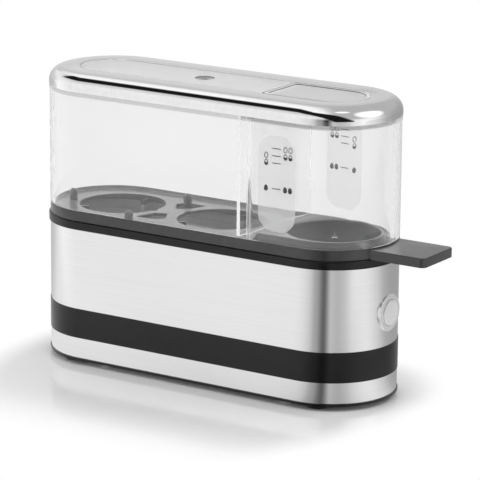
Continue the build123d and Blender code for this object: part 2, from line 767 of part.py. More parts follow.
with BuildPart() as hood_cavity:
    slab(carrier_top - hood_spigot_drop, roof_low, -hood_wall)
    fillet(hood_cavity.faces().sort_by(Axis.Z)[-1].edges(), hood_inner_round)
    with BuildSketch(body_plane.offset(roof_low)) as panel_hollow:
        SlotOverall(panel_length - 2 * hood_roof, panel_width - 2 * hood_roof)
    extrude(amount=panel_rise)
    with BuildSketch(body_plane.offset(carrier_top + partition_rise)) as partition:
        with Locations((partition_x, 0)):
            Rectangle(partition_wall, body_width, align=(Align.MIN, Align.CENTER))
    extrude(amount=hood_top - carrier_top, mode=Mode.SUBTRACT)

with BuildPart() as hood:
    slab(carrier_top, collar_low, 0)
    slab(collar_low, ring_low, collar_proud)
    slab(ring_low, hood_top, -shoulder_inset)
    fillet(hood.faces().sort_by(Axis.Z)[-1].edges(), shoulder_round)
    slab(carrier_top - hood_spigot_drop, carrier_top, -band_lip - running_gap)
    with BuildSketch(body_plane.offset(hood_top)) as panel:
        SlotOverall(panel_length, panel_width)
    extrude(amount=panel_rise)
    add(hood_cavity.part, mode=Mode.SUBTRACT)
    extrude(
        d_face(roof_low, 2 * window_end, window_width, window_flat, window_corner),
        amount=hood_roof + panel_rise,
        mode=Mode.SUBTRACT,
    )
    with BuildSketch(body_plane.offset(panel_top)) as vent_dish:
        with Locations((vent_x, 0)):
            Circle(vent_dish_radius)
    extrude(amount=-vent_dish_depth, mode=Mode.SUBTRACT)
    with BuildSketch(body_plane.offset(panel_top)) as vent_hole:
        with Locations((vent_x, 0)):
            Circle(vent_hole_radius)
    extrude(amount=-hood_roof - panel_rise, mode=Mode.SUBTRACT)
hood.part.label = "hood"

# Chrome ring: a hollow rounded frame that stands on the collar and laps over the roof
ring_proud = 0.4
ring_height = 9.1
ring_round = 7.5
ring_wall = 1.2
ring_inner_edge = 0.8
ring_top = ring_low + ring_height
with BuildPart() as ring_cavity:
    slab(ring_low, ring_top - ring_wall, ring_proud - ring_wall)
    fillet(ring_cavity.faces().sort_by(Axis.Z)[-1].edges(), ring_round - ring_wall)
    with BuildSketch(body_plane.offset(hood_top)) as inner_lip:
        SlotOverall(ring_opening_length + 2 * ring_wall, ring_opening_width + 2 * ring_wall)
    extrude(amount=ring_top - hood_top, mode=Mode.SUBTRACT)

with BuildPart() as chrome_ring:
    slab(ring_low, ring_top, ring_proud)
    fillet(chrome_ring.faces().sort_by(Axis.Z)[-1].edges(), ring_round)
    add(ring_cavity.part, mode=Mode.SUBTRACT)
    with BuildSketch(body_plane.offset(ring_low)) as opening:
        SlotOverall(ring_opening_length, ring_opening_width)
    extrude(amount=ring_height, mode=Mode.SUBTRACT)
    fillet(chrome_ring.faces().sort_by(Axis.Z)[-1].inner_wires().edges(), ring_inner_edge)
chrome_ring.part.label = "chrome_ring"

# Measuring cup, stored upside down on the plate: its raised foot fills the hood's window
cup_side_gap = 0.6
cup_wall = 1.8
cup_corner = 6.0
cup_round = 4.5
cup_roof_gap = 0.3
cup_foot_hollow = 0.5
foot_window_gap = ring_lap + running_gap
cup_outer = -hood_wall - cup_side_gap
cup_length = body_length + 2 * cup_outer
cup_width = body_width + 2 * cup_outer
cup_roof = roof_low - cup_roof_gap
foot_length = 2 * (window_end - foot_window_gap)
foot_width = window_width - 2 * foot_window_gap
foot_flat = window_flat + foot_window_gap
with BuildPart() as cup_cavity:
    extrude(
        d_face(
            plate_level,
            cup_length - 2 * cup_wall,
            cup_width - 2 * cup_wall,
            cup_flat + cup_wall,
            cup_corner - cup_wall,
        ),
        amount=cup_roof - cup_wall - plate_level,
    )
    fillet(cup_cavity.faces().sort_by(Axis.Z)[-1].edges(), cup_round - cup_wall)
    extrude(
        d_face(
            cup_roof - cup_wall,
            foot_length - 2 * cup_wall,
            foot_width - 2 * cup_wall,
            foot_flat + 2 * cup_wall,
            window_corner,
        ),
        amount=panel_top - cup_roof,
    )

with BuildPart() as measuring_cup:
    extrude(
        d_face(plate_level, cup_length, cup_width, cup_flat, cup_corner),
        amount=cup_roof - plate_level,
    )
    fillet(measuring_cup.faces().sort_by(Axis.Z)[-1].edges(), cup_round)
    extrude(
        d_face(
            cup_roof - cup_wall / 2,
            foot_length,
            foot_width,
            foot_flat,
            window_corner,
        ),
        amount=panel_top - cup_roof + cup_wall / 2,
    )
    extrude(
        d_face(
            panel_top - cup_foot_hollow,
            foot_length - 2 * cup_wall,
            foot_width - 2 * cup_wall,
            foot_flat + cup_wall,
            window_corner,
        ),
        amount=cup_foot_hollow,
        mode=Mode.SUBTRACT,
    )
    add(cup_cavity.part, mode=Mode.SUBTRACT)
measuring_cup.part.label = "measuring_cup"

# One file for each piece, named as the piece
pieces = [
    base_tray,
    rubber_feet,
    lower_sleeve,
    inner_housing,
    upper_sleeve,
    cord_gland,
    top_rim,
    pan_seal,
    water_pan,
    heat_spreader,
    heating_element,
    element_terminals,
    thermostat,
    thermostat_bracket,
    thermal_fuse,
    fuse_clip,
    strap_screws,
    heat_shield,
    tray_screws,
    shield_screws,
    terminal_block,
    switch_bezel,
    start_button,
    switch_plunger,
    switch_body,
    switch_bracket,
    bracket_screws,
    egg_carrier,
    pricker_needle,
    hood,
    chrome_ring,
    measuring_cup,
]
os.makedirs("parts", exist_ok=True)
for piece in pieces:
    export_step(piece.part, f"parts/{piece.part.label}.step")
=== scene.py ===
import math

import bmesh
import bpy
from mathutils import Matrix, Quaternion, Vector


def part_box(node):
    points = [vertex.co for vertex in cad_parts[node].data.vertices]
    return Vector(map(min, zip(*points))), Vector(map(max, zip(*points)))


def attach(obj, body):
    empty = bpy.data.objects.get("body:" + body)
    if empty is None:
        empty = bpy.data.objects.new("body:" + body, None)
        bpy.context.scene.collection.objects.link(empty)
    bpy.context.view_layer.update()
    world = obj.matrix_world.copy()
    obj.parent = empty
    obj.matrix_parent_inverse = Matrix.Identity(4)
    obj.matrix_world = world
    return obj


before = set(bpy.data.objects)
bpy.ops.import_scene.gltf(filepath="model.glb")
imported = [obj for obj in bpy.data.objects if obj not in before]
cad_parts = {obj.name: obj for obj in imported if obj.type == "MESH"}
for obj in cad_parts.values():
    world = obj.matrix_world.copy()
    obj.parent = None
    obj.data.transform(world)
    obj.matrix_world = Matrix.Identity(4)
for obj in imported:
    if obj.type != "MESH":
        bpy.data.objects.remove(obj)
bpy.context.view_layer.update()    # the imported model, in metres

# Camera: a long lens that looks a little down on the front and the button end, at the angle of
# the photograph and half a degree off level.
MM = 0.001
camera_azimuth = math.radians(32.9)
camera_elevation = math.radians(14.24)
camera_roll = math.radians(0.5)
camera_distance = 1573.8 * MM
camera_aim = Vector((-1.9, 0.0, 74.6)) * MM
focal_length = 220.56
sensor_width = 36.0
to_camera = Vector(
    (
        math.sin(camera_azimuth) * math.cos(camera_elevation),
        -math.cos(camera_azimuth) * math.cos(camera_elevation),
        math.sin(camera_elevation),
    )
)
camera_data = bpy.data.cameras.new("camera")
camera_data.lens = focal_length
camera_data.sensor_width = sensor_width
camera = bpy.data.objects.new("camera", camera_data)
camera.location = camera_aim + to_camera * camera_distance
camera.rotation_mode = "QUATERNION"
level_view = (-to_camera).to_track_quat("-Z", "Y")
camera.rotation_quaternion = level_view @ Quaternion((0, 0, 1), camera_roll)
bpy.context.scene.collection.objects.link(camera)
bpy.context.scene.camera = camera
bpy.context.scene.view_settings.view_transform = "Standard"


# Studio: a white tent of cloth that shiny and clear pieces mirror. It is open where the camera
# looks in, and a dark seam runs from that opening over the top of the object. Two soft boxes
# shine through its roof.
def put(tree, kind, inputs=None, **options):
    """Adds a shader node. An input is a value, or the socket of another node to link to it."""
    made = tree.nodes.new(kind)
    for option, setting in options.items():
        setattr(made, option, setting)
    for socket, source in (inputs or {}).items():
        if isinstance(source, bpy.types.NodeSocket):
            tree.links.new(source, made.inputs[socket])
        else:
            made.inputs[socket].default_value = source
    return made


def figure(tree, operation, first, second=0.0):
    """One sum on two numbers or sockets."""
    return put(tree, "ShaderNodeMath", {0: first, 1: second}, operation=operation).outputs[0]


def ramp(tree, source, start, end, low, high):
    """Smooth change from low to high while the source goes from start to end."""
    limits = {"Value": source, "From Min": start, "From Max": end, "To Min": low, "To Max": high}
    return put(tree, "ShaderNodeMapRange", limits, interpolation_type="SMOOTHSTEP").outputs[0]


def choose(tree, share, first, second):
    """The first number where the share is 0 and the second where it is 1."""
    return put(tree, "ShaderNodeMix", {0: share, 2: first, 3: second}).outputs[0]


def along(tree, direction, axis):
    """How far a direction or a place lies along an axis."""
    sides = {0: direction, 1: tuple(axis)}
    return put(tree, "ShaderNodeVectorMath", sides, operation="DOT_PRODUCT").outputs["Value"]


# Brightness of the tent's wall round the compass, in degrees from the opening
wall_levels = {
    -180: 0.72,
    -155: 0.64,
    -133: 0.68,
    -117: 1.06,
    -105: 1.04,
    -84: 0.90,
    -67: 0.93,
    -55: 0.90,
    -43: 0.80,
    -33: 0.62,
    -27: 0.38,
    -21: 0.32,
    -16: 0.10,
    -11: 0.02,
    -7: 0.22,
    -2: 0.64,
    4: 0.57,
    10: 0.53,
    21: 0.66,
    31: 0.86,
    42: 1.0,
    54: 1.08,
    66: 0.98,
    79: 0.79,
    94: 0.52,
    112: 0.42,
    140: 0.40,
    160: 0.45,
    180: 0.72,
}
brightest = 1.2
to_right = Vector((math.cos(camera_azimuth), math.sin(camera_azimuth), 0.0))
to_front = Vector((math.sin(camera_azimuth), -math.cos(camera_azimuth), 0.0))


def wall_level(tree, direction):
    """Brightness of the tent's wall in this level direction."""
    turn = figure(tree, "ARCTAN2", along(tree, direction, to_right), along(tree, direction, to_front))
    whole_turn = {"Value": turn, "From Min": -math.pi, "From Max": math.pi}
    share = put(tree, "ShaderNodeMapRange", whole_turn).outputs[0]
    scale = put(tree, "ShaderNodeValToRGB", {"Fac": share})
    stops = scale.color_ramp.elements
    turns = sorted(wall_levels)
    for degrees in turns[1:-1]:
        stops.new(degrees / 360 + 0.5)
    for stop, degrees in zip(stops, turns):
        stop.color = (wall_levels[degrees] / brightest,) * 3 + (1.0,)
    return figure(tree, "MULTIPLY", scale.outputs["Color"], brightest)


# Roof of the tent: a height is the sine of an angle above level, a pair holds the two ends of a
# smooth change, and the seam and the opening have half widths across the ridge
eaves = (0.12, 0.4)
ridge = (-0.02, 0.02)
back_heights = (0.05, 0.80)
back_left_levels = (0.45, 1.05)
back_right_level = 0.5
back_middle = (-0.25, 0.05)
front_heights = (0.3, 0.85)
front_levels = (0.95, 0.55)
seam_normal = Vector((0.64, 0.57, 0.5155))
seam_shift = 0.09
seam_half_width = 0.22
seam_edge = (0.6, 1.0)
seam_start = (-0.45, -0.3)
seam_level = 0.01
opening_shift = -0.12
opening_half_width = 0.34
opening_reach = (0.4, 0.97)
# Soft boxes: the direction of each, with the cosines at which its edge starts and is full, and
# its brightness
soft_boxes = {
    (0.70, 0.18, 0.54): (0.88, 0.97, 1.3),
    (0.25, -0.11, 0.96): (0.985, 0.996, 1.2),
}
# Matt pieces see one even level, and white veils the tent by this share behind a clear wall
diffuse_level = 0.75
glass_veil = 0.7
world = bpy.data.worlds.new("studio")
world.use_nodes = True
sky = world.node_tree
sky.nodes.clear()
looking = put(sky, "ShaderNodeTexCoord").outputs["Generated"]
ray = put(sky, "ShaderNodeLightPath").outputs
height = along(sky, looking, (0, 0, 1))
side = along(sky, looking, seam_normal)
rightwards = along(sky, looking, to_right)
back_left = ramp(sky, height, *back_heights, *back_left_levels)
behind = choose(sky, ramp(sky, rightwards, *back_middle, 0.0, 1.0), back_left, back_right_level)
before = ramp(sky, height, *front_heights, *front_levels)
roof = choose(sky, ramp(sky, side, *ridge, 0.0, 1.0), before, behind)
tent = choose(sky, ramp(sky, height, *eaves, 0.0, 1.0), wall_level(sky, looking), roof)
towards = along(sky, looking, to_camera)
width = ramp(sky, towards, *opening_reach, seam_half_width, opening_half_width)
shift = ramp(sky, towards, *opening_reach, seam_shift, opening_shift)
off_seam = figure(sky, "ABSOLUTE", figure(sky, "ADD", side, shift))
seam = ramp(sky, figure(sky, "DIVIDE", off_seam, width), *seam_edge, 1.0, 0.0)
seam = figure(sky, "MULTIPLY", seam, ramp(sky, towards, *seam_start, 0.0, 1.0))
tent = choose(sky, seam, tent, seam_level)
for middle, (edge, full, brightness) in soft_boxes.items():
    facing = along(sky, looking, Vector(middle).normalized())
    tent = choose(sky, ramp(sky, facing, edge, full, 0.0, 1.0), tent, brightness)
seen = figure(sky, "MAXIMUM", ray["Is Camera Ray"], ray["Is Transmission Ray"])
through_glass = figure(sky, "MINIMUM", ray["Transmission Depth"], 1.0)
tent = choose(sky, figure(sky, "MULTIPLY", through_glass, glass_veil), tent, 1.0)
shiny = choose(sky, ray["Is Glossy Ray"], diffuse_level, tent)
level = choose(sky, seen, shiny, 1.0)
glow = put(sky, "ShaderNodeBackground", {"Color": (1, 1, 1, 1), "Strength": level})
put(sky, "ShaderNodeOutputWorld", {"Surface": glow.outputs[0]})
bpy.context.scene.world = world

# Lamps: four rectangular soft boxes on stands round the object. Each has its direction, its
# width and height in metres, and its brightness.
lamp_reach = 1.6
lamps = {
    "top_light": ((0.25, -0.11, 0.96), (0.5, 0.5), 2.6),
    "right_light": ((0.55, 0.42, 0.72), (0.9, 0.6), 2.4),
    "left_light": ((-0.93, 0.32, 0.16), (0.4, 0.7), 2.2),
    "front_light": ((-0.62, -0.62, 0.48), (0.9, 0.9), 1.6),
}
for lamp_name, (place, size, brightness) in lamps.items():
    lamp_data = bpy.data.lights.new(lamp_name, "AREA")
    lamp_data.shape = "RECTANGLE"
    lamp_data.size, lamp_data.size_y = size
    lamp_data.energy = brightness * math.pi * size[0] * size[1]
    lamp = bpy.data.objects.new(lamp_name, lamp_data)
    lamp.location = camera_aim + Vector(place).normalized() * lamp_reach
    lamp.rotation_mode = "QUATERNION"
    lamp.rotation_quaternion = Vector(place).to_track_quat("Z", "Y")
    lamp.visible_glossy = False
    bpy.context.scene.collection.objects.link(lamp)

# Floor: a wide sheet of white acrylic that keeps the object's shadow and a faint reflection in a
# soft pool round the body, and turns to plain white further out. Shiny pieces see on it a painted
# glow as bright as the wall behind it, with painted shade close in front of the body.
floor_half = 6.0
acrylic_colour = (0.95, 0.95, 0.955, 1)
acrylic_index = 1.45
acrylic_grain = 90.0
acrylic_roughness = (0.10, 0.16)
# Most of a noise lies between these two values
grain_span = (0.3, 0.7)
# The pool fades between two distances from the body's middle line, and each stretch weighs the
# distance past an end, to the front or to the back
end_centre = Vector((55.2, 0.0, 0.0)) * MM
half_straight = 69.2 * MM
end_stretch = 1.5
front_stretch = 0.62
back_stretch = 1.2
pool_edge = (0.052, 0.09)
# The glow painted on the floor for shiny pieces is a little darker close in front of the body,
# as painted shade
mirrored_share = 0.9
near_shade_edge = (0.05, 0.12)
near_shade_levels = (0.82, 1.0)
floor_mesh = bmesh.new()
bmesh.ops.create_grid(floor_mesh, x_segments=1, y_segments=1, size=floor_half)
floor_data = bpy.data.meshes.new("floor")
floor_mesh.to_mesh(floor_data)
floor_mesh.free()
floor = bpy.data.objects.new("floor", floor_data)
bpy.context.scene.collection.objects.link(floor)
acrylic = bpy.data.materials.new("white_acrylic")
acrylic.use_nodes = True
sheet = acrylic.node_tree
sheet.nodes.clear()
spot = put(sheet, "ShaderNodeTexCoord").outputs["Object"]
ray = put(sheet, "ShaderNodeLightPath").outputs
noise = {"Vector": spot, "Scale": acrylic_grain, "Detail": 3.0}
grain = put(sheet, "ShaderNodeTexNoise", noise).outputs["Fac"]
polish = ramp(sheet, grain, *grain_span, *acrylic_roughness)
gloss = {"Base Color": acrylic_colour, "Roughness": polish, "IOR": acrylic_index}
surface = put(sheet, "ShaderNodeBsdfPrincipled", gloss)
white = put(sheet, "ShaderNodeEmission", {"Color": (1, 1, 1, 1), "Strength": 1.0})
from_end = put(sheet, "ShaderNodeVectorMath", {0: spot, 1: end_centre}, operation="SUBTRACT")
# Painted glow: shiny pieces see the floor as bright as the wall, darker close in front as painted
# shade
mirrored = wall_level(sheet, from_end.outputs[0])
outwards = figure(sheet, "MULTIPLY", along(sheet, spot, (0, 1, 0)), -1.0)
mirrored = figure(sheet, "MULTIPLY", mirrored, ramp(sheet, outwards, *near_shade_edge, *near_shade_levels))
# Behind a clear wall the painted glow turns whiter by the share of the veil
through_glass = figure(sheet, "MINIMUM", ray["Transmission Depth"], 1.0)
mirrored = choose(sheet, figure(sheet, "MULTIPLY", through_glass, glass_veil), mirrored, 1.0)
wall = put(sheet, "ShaderNodeEmission", {"Color": (1, 1, 1, 1), "Strength": mirrored})
seen = figure(sheet, "MAXIMUM", ray["Is Camera Ray"], ray["Is Transmission Ray"])
apart = figure(sheet, "SUBTRACT", along(sheet, spot, (1, 0, 0)), end_centre.x - half_straight)
past_end = figure(sheet, "SUBTRACT", figure(sheet, "ABSOLUTE", apart), half_straight)
past_end = figure(sheet, "MULTIPLY", figure(sheet, "MAXIMUM", past_end, 0.0), end_stretch)
in_front = along(sheet, spot, (0, -front_stretch, 0))
ahead = figure(sheet, "MAXIMUM", in_front, along(sheet, spot, (0, back_stretch, 0)))
off_body = put(sheet, "ShaderNodeCombineXYZ", {0: past_end, 1: ahead}).outputs[0]
off_body = put(sheet, "ShaderNodeVectorMath", {0: off_body}, operation="LENGTH").outputs["Value"]
backdrop = figure(sheet, "MULTIPLY", seen, ramp(sheet, off_body, *pool_edge, 0.0, 1.0))
mirroring = figure(sheet, "MULTIPLY", ray["Is Glossy Ray"], mirrored_share)
blend = put(sheet, "ShaderNodeMixShader", {0: backdrop, 1: surface.outputs[0], 2: white.outputs[0]})
blend = put(sheet, "ShaderNodeMixShader", {0: mirroring, 1: blend.outputs[0], 2: wall.outputs[0]})
put(sheet, "ShaderNodeOutputMaterial", {"Surface": blend.outputs[0]})
floor_data.materials.append(acrylic)


# Steel sleeves: a tall and a narrow band of 0.8 mm stainless sheet bent round the housing. They
# are brushed lengthwise, so that the brush lines run level all the way round.
sharp_angle = math.radians(30)
weld_reach = 0.001 * MM


def finish_node(name, material):
    """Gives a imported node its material, and smooth shading up to the sharp angle."""
    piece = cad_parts[name]
    piece.data.materials.clear()
    piece.data.materials.append(material)
    piece.data.polygons.foreach_set("use_smooth", [True] * len(piece.data.polygons))
    weld = piece.modifiers.new("weld", "WELD")
    weld.merge_threshold = weld_reach
    split = piece.modifiers.new("sharp_edges", "EDGE_SPLIT")
    split.split_angle = sharp_angle


def new_finish(name, **sockets):
    """A material with one principled shader, whose sockets are set by name."""
    made = bpy.data.materials.new(name)
    made.use_nodes = True
    tree = made.node_tree
    tree.nodes.clear()
    shader = put(tree, "ShaderNodeBsdfPrincipled")
    for socket, setting in sockets.items():
        shader.inputs[socket.replace("_", " ")].default_value = setting
    put(tree, "ShaderNodeOutputMaterial", {"Surface": shader.outputs[0]})
    return made, tree, shader


def grain_of(tree, stretch, detail=4.0):
    """Noise over the piece, with this many grains a metre along X, Y and Z."""
    place = put(tree, "ShaderNodeTexCoord").outputs["Object"]
    spread = put(tree, "ShaderNodeMapping", {"Vector": place, "Scale": stretch}).outputs[0]
    noise = {"Vector": spread, "Scale": 1.0, "Detail": detail, "Roughness": 0.6}
    return put(tree, "ShaderNodeTexNoise", noise).outputs["Fac"]


def grey_of(tree, level):
    """The grey of this level, as a colour."""
    return put(tree, "ShaderNodeCombineColor", {0: level, 1: level, 2: level}).outputs[0]


def vary(tree, shader, source, socket, low, high):
    """Lets a socket of the shader, a number or a grey, follow a noise."""
    value = ramp(tree, source, *grain_span, low, high)
    if shader.inputs[socket].type == "RGBA":
        value = grey_of(tree, value)
    tree.links.new(value, shader.inputs[socket])


def bumps(tree, shader, source, depth, strength):
    """Raises the surface where the noise is high, by this depth."""
    relief = {"Height": source, "Distance": depth, "Strength": strength}
    tree.links.new(put(tree, "ShaderNodeBump", relief).outputs[0], shader.inputs["Normal"])


brush_grains = (14.0, 14.0, 5200.0)
brush_depth = 0.004 * MM
brushed, tree, shader = new_finish(
    "brushed_steel", Metallic=1.0, Anisotropic=0.85, Anisotropic_Rotation=0.25
)
lines = grain_of(tree, brush_grains, detail=5.0)
vary(tree, shader, lines, "Base Color", 0.84, 0.89)
vary(tree, shader, lines, "Roughness", 0.18, 0.22)
bumps(tree, shader, lines, brush_depth, strength=0.07)
turning = put(tree, "ShaderNodeTangent", direction_type="RADIAL", axis="Z").outputs[0]
tree.links.new(turning, shader.inputs["Tangent"])
for sleeve in ("upper_sleeve", "lower_sleeve"):
    finish_node(sleeve, brushed)


# Black mouldings: the housing, whose waist shows between the sleeves, the tray that closes it
# from below and the rim that caps its walls. They are glossy black plastic, with the faint
# unevenness of a moulded surface.
cloud_grains = 160.0
black_roughness = (0.14, 0.22)
ripple_grains = (1400.0, 1400.0, 1400.0)
ripple_depth = 0.02 * MM


def even_finish(name, grains, greys, roughness, **sockets):
    """A finish whose grey and roughness follow one noise of this many grains a metre."""
    made, tree, shader = new_finish(name, **sockets)
    noise = grain_of(tree, (grains, grains, grains))
    vary(tree, shader, noise, "Base Color", *greys)
    vary(tree, shader, noise, "Roughness", *roughness)
    return made


def black_finish(name, index, greys):
    """Glossy black plastic between these two greys."""
    made = even_finish(name, cloud_grains, greys, black_roughness, IOR=index)
    tree = made.node_tree
    ripple = grain_of(tree, ripple_grains, detail=2.0)
    bumps(tree, tree.nodes["Principled BSDF"], ripple, ripple_depth, strength=0.2)
    return made


housing_black = black_finish("black_plastic", index=1.40, greys=(0.004, 0.007))
for moulding in ("base_tray", "inner_housing", "top_rim"):
    finish_node(moulding, housing_black)

# Egg carrier: one moulding of glossy black plastic, which rests on the rim and lifts out by its
# handle. The bowl of its dish is painted over with matt black, as painted shade in its hollow,
# and its skirt, which hangs in the steam of the pan, has a grey film of lime.
# Painted shade in the bowl: a matt black within this reach of the needle, with a soft edge, mixed in
# by this share
bowl_reach = 25.0 * MM
bowl_edge = 1.0 * MM
bowl_share = 0.85
bowl_shade_grey = 0.03
skirt_grey = 0.3
skirt_edge = 0.5 * MM
skirt_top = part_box("top_rim")[1].z
needle_low, needle_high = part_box("pricker_needle")
needle_place = (needle_low + needle_high) / 2
carrier_black = black_finish("carrier_black", index=1.60, greys=(0.026, 0.034))
tree = carrier_black.node_tree
polished = tree.nodes["Principled BSDF"]
polished.inputs["Sheen Weight"].default_value = 0.4
polished.inputs["Sheen Roughness"].default_value = 0.35
place = put(tree, "ShaderNodeTexCoord").outputs["Object"]
away = put(tree, "ShaderNodeVectorMath", {0: place, 1: (needle_place.x, 0, 0)}, operation="SUBTRACT")
away = put(tree, "ShaderNodeVectorMath", {0: away.outputs[0], 1: (1, 1, 0)}, operation="MULTIPLY")
away = put(tree, "ShaderNodeVectorMath", {0: away.outputs[0]}, operation="LENGTH").outputs["Value"]
# Painted shade: a matt black mixed into the bowl of the dish
inside = ramp(tree, away, bowl_reach - bowl_edge, bowl_reach, bowl_share, 0.0)
painted_bowl_shade = {"Color": (bowl_shade_grey, bowl_shade_grey, bowl_shade_grey, 1), "Roughness": 0.5}
matt = put(tree, "ShaderNodeBsdfDiffuse", painted_bowl_shade)
blend = put(tree, "ShaderNodeMixShader", {0: inside, 1: polished.outputs[0], 2: matt.outputs[0]})
tree.links.new(blend.outputs[0], tree.nodes["Material Output"].inputs["Surface"])
hanging = ramp(tree, along(tree, place, (0, 0, 1)), skirt_top - skirt_edge, skirt_top, 1.0, 0.0)
moulded = polished.inputs["Base Color"].links[0].from_socket
colours = {0: hanging, 6: moulded, 7: grey_of(tree, skirt_grey)}
filmed = put(tree, "ShaderNodeMix", colours, data_type="RGBA").outputs[2]
tree.links.new(filmed, polished.inputs["Base Color"])
finish_node("egg_carrier", carrier_black)

# Hood and measuring cup: clear plastic, moulded in one shot each, with a faint waviness in the
# walls. The top of the hood and the foot of the cup in its window are frosted, with painted shade
# on the steep faces there and on the floor of the vent. The hood is painted darker in a band just
# under the ring, as painted shade, and steam dims the walls of the egg chamber. Light that echoes
# inside a wall comes out as a painted glow.
clear_index = 1.49
clearness = 0.985
steamed_clearness = 0.945
steam_edge = 2.0 * MM
cup_tint = 0.998
reflected = 0.3
wave_grains = (60.0, 60.0, 25.0)
wave_depth = 0.002 * MM
scuff_grains = (700.0, 700.0, 700.0)
most_scuffed = 0.004
frost = 0.4
frost_clearness = 0.5
frost_depth = 2.1 * MM
frost_edge = 0.1 * MM
frosted_grey = 0.92
# Painted shade: greys of the steep faces in the frosted top and of the floor of the vent
recess_shade_grey = 0.25
vent_shade_grey = 0.42
vent_depths = (0.75 * MM, 0.55 * MM)
steep_slopes = (0.6, 0.8)
# Painted shade in a band just under the ring: its grey, half height and soft edges
collar_shade_grey = 0.72
collar_half_height = 1.2 * MM
collar_edge = (0.1 * MM, 0.3 * MM)
# Light that a wall has turned back more often than this comes out as a painted glow, almost white
most_echoes = 1.5
echo_glow_level = 0.9
shade_tint = (0.93, 0.935, 0.935, 1)
collar_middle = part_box("chrome_ring")[0].z - collar_half_height
hood_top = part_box("hood")[1].z
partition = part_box("measuring_cup")[0].x


def clear_finish(name, tint):
    """Clear plastic that lets the light of the lamps pass, with a painted glow where light echoes
    inside a wall, and painted shade in its frosted recesses and under the ring.
    """
    tinted_gloss = (reflected, reflected, reflected, 1)
    made, tree, shader = new_finish(name, IOR=clear_index, Specular_Tint=tinted_gloss)
    bumps(tree, shader, grain_of(tree, wave_grains, detail=2.0), wave_depth, strength=1.0)
    place = put(tree, "ShaderNodeTexCoord").outputs["Object"]
    level = along(tree, place, (0, 0, 1))
    frost_low = hood_top - frost_depth
    frosted = ramp(tree, level, frost_low, frost_low + frost_edge, 0.0, 1.0)
    slope = along(tree, put(tree, "ShaderNodeNewGeometry").outputs["True Normal"], (0, 0, 1))
    steep = ramp(tree, figure(tree, "ABSOLUTE", slope), *steep_slopes, 1.0, 0.0)
    # Painted shade in a band just under the ring
    off_collar = figure(tree, "ABSOLUTE", figure(tree, "SUBTRACT", level, collar_middle))
    collar_limits = (collar_half_height - collar_edge[0], collar_half_height + collar_edge[1])
    below = ramp(tree, off_collar, *collar_limits, collar_shade_grey, tint)
    # Painted shade on the floor of the vent and on the steep faces of the frosted top
    vent_heights = (hood_top - vent_depths[0], hood_top - vent_depths[1])
    face = ramp(tree, level, *vent_heights, vent_shade_grey, frosted_grey)
    grey = choose(tree, frosted, below, choose(tree, steep, face, recess_shade_grey))
    tree.links.new(grey_of(tree, grey), shader.inputs["Base Color"])
    beside = along(tree, place, (1, 0, 0))
    steamed = ramp(tree, beside, partition - steam_edge, partition, steamed_clearness, clearness)
    passed = choose(tree, frosted, steamed, frost_clearness)
    tree.links.new(passed, shader.inputs["Transmission Weight"])
    scratched = grain_of(tree, scuff_grains, detail=6.0)
    scuffs = ramp(tree, scratched, *grain_span, 0.0, most_scuffed)
    tree.links.new(choose(tree, frosted, scuffs, frost), shader.inputs["Roughness"])
    ray = put(tree, "ShaderNodeLightPath").outputs
    # Painted glow where light has echoed inside a wall
    echo_glow_shader = put(tree, "ShaderNodeEmission", {"Color": (1, 1, 1, 1), "Strength": echo_glow_level})
    echoes = figure(tree, "GREATER_THAN", ray["Glossy Depth"], most_echoes)
    inner = put(tree, "ShaderNodeMixShader", {0: echoes, 1: shader.outputs[0], 2: echo_glow_shader.outputs[0]})
    shade = put(tree, "ShaderNodeBsdfTransparent", {"Color": shade_tint})
    sides = {0: ray["Is Shadow Ray"], 1: inner.outputs[0], 2: shade.outputs[0]}
    outer = put(tree, "ShaderNodeMixShader", sides)
    tree.links.new(outer.outputs[0], tree.nodes["Material Output"].inputs["Surface"])
    return made


finish_node("hood", clear_finish("clear_plastic", tint=1.0))
finish_node("measuring_cup", clear_finish("clear_cup", tint=cup_tint))

# Scale of the measuring cup: on its front and its back a frosted patch is printed, with eggs for
# hard, medium and soft and a line for the water level of one egg or two.
patch_width = 22.6 * MM
patch_low = 92.4 * MM
patch_high = 142.8 * MM
patch_corner = 9.0 * MM
patch_thickness = 0.12 * MM
# Where the middle of each patch lies along the cup, from the middle of the body, and its turn
patch_places = {"front": (56.2 * MM, 0.0), "back": (57.15 * MM, math.pi)}
ink_thickness = 0.04 * MM
ink_gap = 0.01 * MM
egg_width = 2.4 * MM
egg_height = 3.3 * MM
egg_line = 0.42 * MM
egg_taper = 0.16
egg_segments = 28
mark_length = 5.2 * MM
mark_thickness = 0.45 * MM
mark_shift = -0.3 * MM
single_shift = -6.5 * MM
pair_shifts = (5.1 * MM, 8.1 * MM)
soft_level = 136.3 * MM
medium_level = 132.4 * MM
medium_single_level = 128.6 * MM
hard_level = 115.1 * MM
# The patch is denser on the front of the cup than on its back
print_reach = 20.0 * MM
print_density = (0.32, 0.1)
print_grains = (2200.0, 2200.0, 2200.0)
ink_grains = (2600.0, 2600.0, 2600.0)
cup_low, cup_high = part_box("measuring_cup")
cup_middle = (cup_low.y + cup_high.y) / 2
cup_face = (cup_high.y - cup_low.y) / 2
body_middle = sum(corner.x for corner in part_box("upper_sleeve")) / 2


def flat_piece(name, mesh, material):
    """Makes a piece of the mesh, in the frame of the object, on the body of the cup."""
    bmesh.ops.recalc_face_normals(mesh, faces=mesh.faces)
    data = bpy.data.meshes.new(name)
    mesh.to_mesh(data)
    mesh.free()
    data.materials.append(material)
    made = bpy.data.objects.new(name, data)
    bpy.context.scene.collection.objects.link(made)
    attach(made, "cup")


def thicken(mesh, faces, thickness):
    """Gives flat faces in the XZ plane a thickness towards -Y."""
    grown = bmesh.ops.extrude_face_region(mesh, geom=faces)
    moved = [part for part in grown["geom"] if isinstance(part, bmesh.types.BMVert)]
    bmesh.ops.translate(mesh, verts=moved, vec=(0, -thickness, 0))


def upright(x, z):
    """Matrix that stands a flat shape up in the XZ plane, with its middle at this place."""
    return Matrix.Translation((x, 0, z)) @ Matrix.Rotation(math.pi / 2, 4, "X")


